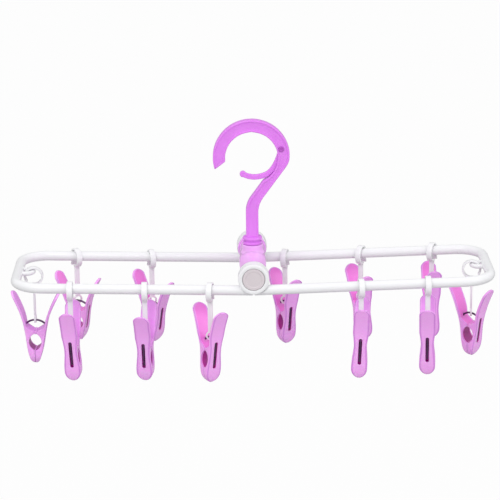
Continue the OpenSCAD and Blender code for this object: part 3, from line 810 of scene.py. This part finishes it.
def pegLines(z, gapZ):
    # how far the outside and the inside of a half stand out at each height
    p = peg
    s, sz, h, top = p["shoulder"], p["shoulderZ"], p["handleOut"], p["handleTop"]
    outside = np.concatenate([
        pulled((p["toe"], p["bottom"]), (p["toePull"], p["bottom"]),
               (s + p["shoulderPull"][0], sz + p["shoulderPull"][1]), (s, sz), 40),
        pulled((s, sz), (s + p["risePull"][0], p["risePull"][1]),
               (h + p["handlePull"][0], p["handlePull"][1]), (h, top - p["handleRound"]), 40),
    ])
    lowPull, highPull = p["bladePulls"]
    blade = pulled((s + p["bladeStart"][0], sz + p["bladeStart"][1]), (s + lowPull[0], lowPull[1]),
                   (h + highPull[0], highPull[1]), (h + p["bladeTop"], top), 40)
    rib = p["fulcrum"] + p["ribRise"]
    inside = np.concatenate([[[p["web"], rib]], blade])
    outer = np.interp(z, outside[:, 1], outside[:, 0])
    inner = np.interp(z, inside[:, 1], inside[:, 0])
    inner = np.where(z < rib, np.where(z < gapZ, p["seam"], p["web"]), inner)
    # the round gap is an arc of radius (wide^2 + half^2) / (2 wide)
    gapArc = (p["gapWide"] ** 2 + p["gapHalf"] ** 2) / (2 * p["gapWide"])
    bulge = np.sqrt(np.maximum(gapArc ** 2 - (z - gapZ) ** 2, 0))
    inner = np.maximum(inner, np.where(np.abs(z - gapZ) < p["gapHalf"], p["gapWide"] - gapArc + bulge, 0))
    return np.maximum(outer, inner + p["thin"]), inner


def pegWidths(z):
    # half the width at each height: from the waist it eases out to the paddle and to the jaw, t^2 (3 - 2t),
    # with a half round on the paddle and a pointed foot, (1 - t^2)^power
    p = peg

    def eased(target, wide):
        t = np.clip((z - p["waistZ"]) / (target - p["waistZ"]), 0, 1)
        return p["waist"] / 2 + (wide - p["waist"]) / 2 * t * t * (3 - 2 * t)

    width = np.where(z > p["waistZ"], eased(p["paddleZ"], p["handleWidth"]), eased(p["jawZ"], p["jaw"]))
    paddle = p["handleWidth"] / 2
    over = z - (p["handleTop"] - paddle)
    width = np.where(over > 0, np.sqrt(np.maximum(paddle ** 2 - over ** 2, 0)), width)
    footShare = np.clip((p["bottom"] + p["foot"] - z) / p["foot"], 0, 1)
    width = np.minimum(width, p["jaw"] / 2 * (1 - footShare ** 2) ** p["footPower"])
    return np.maximum(width, 0.02)


def pegHalf(withRib):
    # a stack of rounded rectangles: at each height z, width(z) to each side and from inner(z) out to outer(z)
    p = peg
    _, legTop = wirePath()
    lean = math.radians(wire["lean"])
    gapZ = p["fulcrum"] - p["gapDrop"] - p["gapHalf"]
    slotTop = legTop[1] + p["slot"] * math.cos(lean)
    slotLow = legTop[1] - p["slotLength"] * math.cos(lean)
    z = pegLevels(gapZ, slotTop, slotLow)
    outer, inner = pegLines(z, gapZ)
    width = pegWidths(z)
    roundest = np.minimum(outer - inner, width) * p["edgeShare"]
    edge, inEdge = np.minimum(p["edge"], roundest), np.minimum(p["inEdge"], roundest)

    # the slot for the wire: half its width at each height, and how far out its floor lies
    into = np.minimum(slotTop - z, z - slotLow)
    inSlot = into > 0
    slotRound = p["slot"] / 2
    slotHalf = np.sqrt(np.maximum(slotRound ** 2 - np.maximum(slotRound - into, 0) ** 2, 0))
    slotHalf = np.where(inSlot, np.minimum(slotHalf, width * 0.7), 0.02)
    legOut = legTop[0] + (z - legTop[1]) * math.tan(lean)
    floor = np.maximum(legOut - (wire["diameter"] / 2 + p["slotFloor"]) / math.cos(lean), inner + 0.15)
    floor = np.where(inSlot, np.minimum(floor, outer), outer)
    lip = np.minimum(p["slotLip"], slotHalf * 0.4)

    def column(x, out, tone):
        return x, out, np.broadcast_to(np.asarray(tone, float), len(z))

    def corner(a, radius, out, way):
        # a quarter round from the side, way 1 to the inside and -1 to the face; its tone goes from side to
        # rim, painting shade on the rounded edge
        tone = tones["side"] + (tones["rim"] - tones["side"]) * math.sin(a)
        return column(width - radius * (1 - math.cos(a)), out + way * radius * (1 - math.sin(a)), tone)

    def mirrored(columns):
        return [(-x, out, tone) for x, out, tone in columns]

    quarter = degrees(np.linspace(0, 90, 4))
    # painted shade: pinker on the insides, darker in the round gap between the halves, darkening into the slot
    # down to its floor
    hollowShade = np.where(np.abs(z - gapZ) < p["gapHalf"] - 0.2, tones["gap"], tones["inside"])
    floorTone = np.where(inSlot, tones["deep"], tones["face"])
    rimIn = np.minimum(p["rimIn"], width * 0.2)
    face = [corner(a, edge, outer, -1) for a in quarter] + [
        column(np.maximum(width - edge - rimIn, slotHalf + lip), outer, tones["face"]),
        column(slotHalf + lip, outer, tones["face"]),
        column(slotHalf, outer - lip * inSlot * 0.5, np.where(inSlot, tones["mouth"], tones["face"])),
        column(slotHalf * 0.96, floor, floorTone),
    ]
    inside = [corner(a, inEdge, inner, 1) for a in quarter] + [column(width - inEdge - rimIn, inner, hollowShade)]
    side = [column(width, inner * 0.5 + outer * 0.5, tones["side"])]
    columns = face + [column(width * 0, floor, floorTone)] + mirrored(face)[::-1] + mirrored(side)
    columns += mirrored(inside) + [column(width * 0, inner, hollowShade)] + inside[::-1] + side
    x, out, tone = (np.stack(c, 1) for c in zip(*columns[::-1]))
    shell = gridShell(np.stack([x, -out, np.repeat(z[:, None], x.shape[1], 1)], -1), tone)
    if withRib:
        # the rib inside takes a tone part way to the insides' painted shade
        half = p["waist"] / 2 - p["ribIn"]
        points, faces, tone = turnedProfile(
            [(0, -half), (p["ribRadius"], -half), (p["ribRadius"], half), (0, half)],
            (0, 0, p["fulcrum"]), (1, 0, 0), 24)
        shell = joined(shell, (points, faces, tone + p["ribShadeTone"]))
    return shell


frontForm, backForm = pegHalf(True), pegHalf(False)
backForm = moved(backForm, lambda q: turned(q, 180))
wireFlat, _ = wirePath()
wireLine = np.column_stack([np.zeros(len(wireFlat)), wireFlat])
wireForm = pipe(wireLine, wire["diameter"] / 2, wire["sides"], (1, 0, 0))
linkStem, linkLoop = linkPieces()


def copyOf(form, name, turn, shift):
    mesh = form.data.copy()
    mesh.name = name
    reshaped(mesh, lambda q: turned(q, turn, shift))
    return placed(name, mesh)


def hung(points, turn, lean, tilt, at):
    # tilted about the middle of the wire's arch, leant about the wire, then turned and moved to where it hangs
    centre = np.array([0, 0, -wire["arch"]])
    c, s = heading(tilt)
    points = (points - centre) @ np.array([[1, 0, 0], [0, c, -s], [0, s, c]]).T + centre
    return turned(raised(points, -lean), turn, at)


def hangPeg(name, bar, distance, linkTurn, pegTurn, lean, tilt):
    at = wirePoint(bar, distance, linkTurn)
    dip = np.array([0, 0, -link["dip"] * math.sin(math.radians(pegTurn - linkTurn)) ** 2])
    for form, part, shift in ((linkStem, "Stem", dip), (linkLoop, "Loop", 0)):
        piece = copyOf(form, f"link{name.upper()}{part}", linkTurn, at + shift)
        finishPiece(piece, "tubeWhite", "white", f"link_{name}", f"link_{name}")

    def hang(points):
        return hung(points, pegTurn, lean, tilt, at)

    for form, part in ((backForm, "back"), (frontForm, "front")):
        piece = makePiece(f"peg{name.upper()}{part.title()}", moved(form, hang), 45)
        finish = "pegPinkShade" if name in pinkShadedInsides else "pegViolet"
        finishPiece(piece, finish, "peg_violet", f"peg_{name}_{part}", f"peg_{name}_{part}")
    spring = makePiece(f"spring{name.upper()}", moved(wireForm, hang), 60)
    spring.data.materials.append(finishes["wireSteel"])
    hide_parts(f"peg_{name}_spring")
    out = hang(np.array([[0, peg["springOut"], peg["springZ"]], [0, -peg["springOut"], peg["springZ"]]])) * mm
    tuple(out[0])
    tuple(out[1])
    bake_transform(spring)


for row in pegs:
    hangPeg(*row)
for form in (linkStem, linkLoop):
    bpy.data.objects.remove(form)
print("pegs made", len(pegs))

# each lamp is its place, size and energy
studio = {
    "floorZ": -0.42, "floorTone": 0.48, "floorVary": 0.03, "floorRough": 0.8, "floorGlow": 0.97,
    "worldLight": 0.86, "floorHalf": 6.0, "floorNear": -3.0, "curveFrom": 3.0, "floorFar": 8.0,
    "curveRise": 5.0,
    "lamps": {"keyLamp": ((-0.5, -1.2, 1.1), 0.9, 9.0), "fillLamp": ((1.2, -0.9, 0.4), 1.0, 3.6)},
    "lampAim": (0, 0, -0.1),
}


def plainFloor():
    # a flat sheet that curves up far behind: z = floor + rise * (far share)^2
    s = studio
    across, along = (-s["floorHalf"], s["floorHalf"], 20), (s["floorNear"], s["floorFar"], 60)
    u, v = np.meshgrid(np.linspace(*across), np.linspace(*along))
    share = np.clip((v - s["curveFrom"]) / (s["floorFar"] - s["curveFrom"]), 0, 1)
    points = np.stack([u, v, s["floorZ"] + s["curveRise"] * share ** 2], -1)
    mesh = bpy.data.meshes.new("floor")
    index = np.arange(u.size).reshape(u.shape)
    quads = np.stack([index[:-1, :-1], index[:-1, 1:], index[1:, 1:], index[1:, :-1]], -1).reshape(-1, 4)
    mesh.from_pydata(points.reshape(-1, 3).tolist(), [], quads.tolist())
    mesh.polygons.foreach_set("use_smooth", np.ones(len(quads), bool))
    f = Finish("floorWhite")
    light = s["floorTone"] + s["floorVary"]
    f.set(Base_Color=f.mix(f.noise(3.0), (s["floorTone"],) * 3, (light,) * 3), Roughness=s["floorRough"])
    glow = f.add("ShaderNodeEmission", None, {"Color": (1, 1, 1, 1), "Strength": 1.0})
    seen = f.add("ShaderNodeLightPath", out="Is Camera Ray")
    lit = Signal(f, f.surface.outputs[0])
    both = f.add("ShaderNodeMixShader", None, {0: seen * s["floorGlow"], 1: lit, 2: glow})
    f.feed(f.tree.nodes["Material Output"].inputs[0], both)
    mesh.materials.append(f.material)
    placed("floor", mesh)


def worldLight():
    # white all round: full where the camera sees it, and worldLight where it lights the object
    world = bpy.data.worlds.new("studio")
    bpy.context.scene.world = world
    world.use_nodes = True
    shader = Shader(world.node_tree)
    back = shader.tree.nodes["Background"]
    back.inputs["Color"].default_value = (1, 1, 1, 1)
    seen = shader.add("ShaderNodeLightPath", out="Is Camera Ray")
    shader.feed(back.inputs["Strength"], seen * (1.0 - studio["worldLight"]) + studio["worldLight"])


def softLamp(name, at, size, energy):
    lamp = bpy.data.lights.new(name, "AREA")
    lamp.shape, lamp.size, lamp.energy = "DISK", size, energy
    holder = placed(name, lamp)
    holder.location = at
    holder.rotation_euler = (Vector(studio["lampAim"]) - Vector(at)).to_track_quat("-Z", "Y").to_euler()


plainFloor()
worldLight()
for name, values in studio["lamps"].items():
    softLamp(name, *values)

# focal is in pixels of a picture of so many pixels
view = {"azimuth": 0.64, "elevation": 16.2, "distance": 1.78, "focal": 2207.0, "pixels": 500, "sensor": 36.0,
        "aim": (-0.00205, 0.0, -0.0984), "roll": 0.72, "farEnd": 50.0}


def photoCamera():
    # looks at the aim from azimuth and elevation, and leans by roll
    az, el = math.radians(view["azimuth"]), math.radians(view["elevation"])
    forward = Vector((math.sin(az) * math.cos(el), math.cos(az) * math.cos(el), -math.sin(el)))
    camera = bpy.data.cameras.new("photoCamera")
    camera.sensor_fit, camera.sensor_width = "HORIZONTAL", view["sensor"]
    camera.lens = view["focal"] / view["pixels"] * view["sensor"]
    camera.clip_end = view["farEnd"]
    holder = placed("photoCamera", camera)
    roll = Matrix.Rotation(math.radians(-view["roll"]), 4, "Z")
    turn = forward.to_track_quat("-Z", "Y").to_matrix().to_4x4() @ roll
    holder.matrix_world = Matrix.Translation(Vector(view["aim"]) - forward * view["distance"]) @ turn
    bpy.context.scene.camera = holder


photoCamera()
bpy.context.scene.view_settings.view_transform = "Standard"
print("studio made")
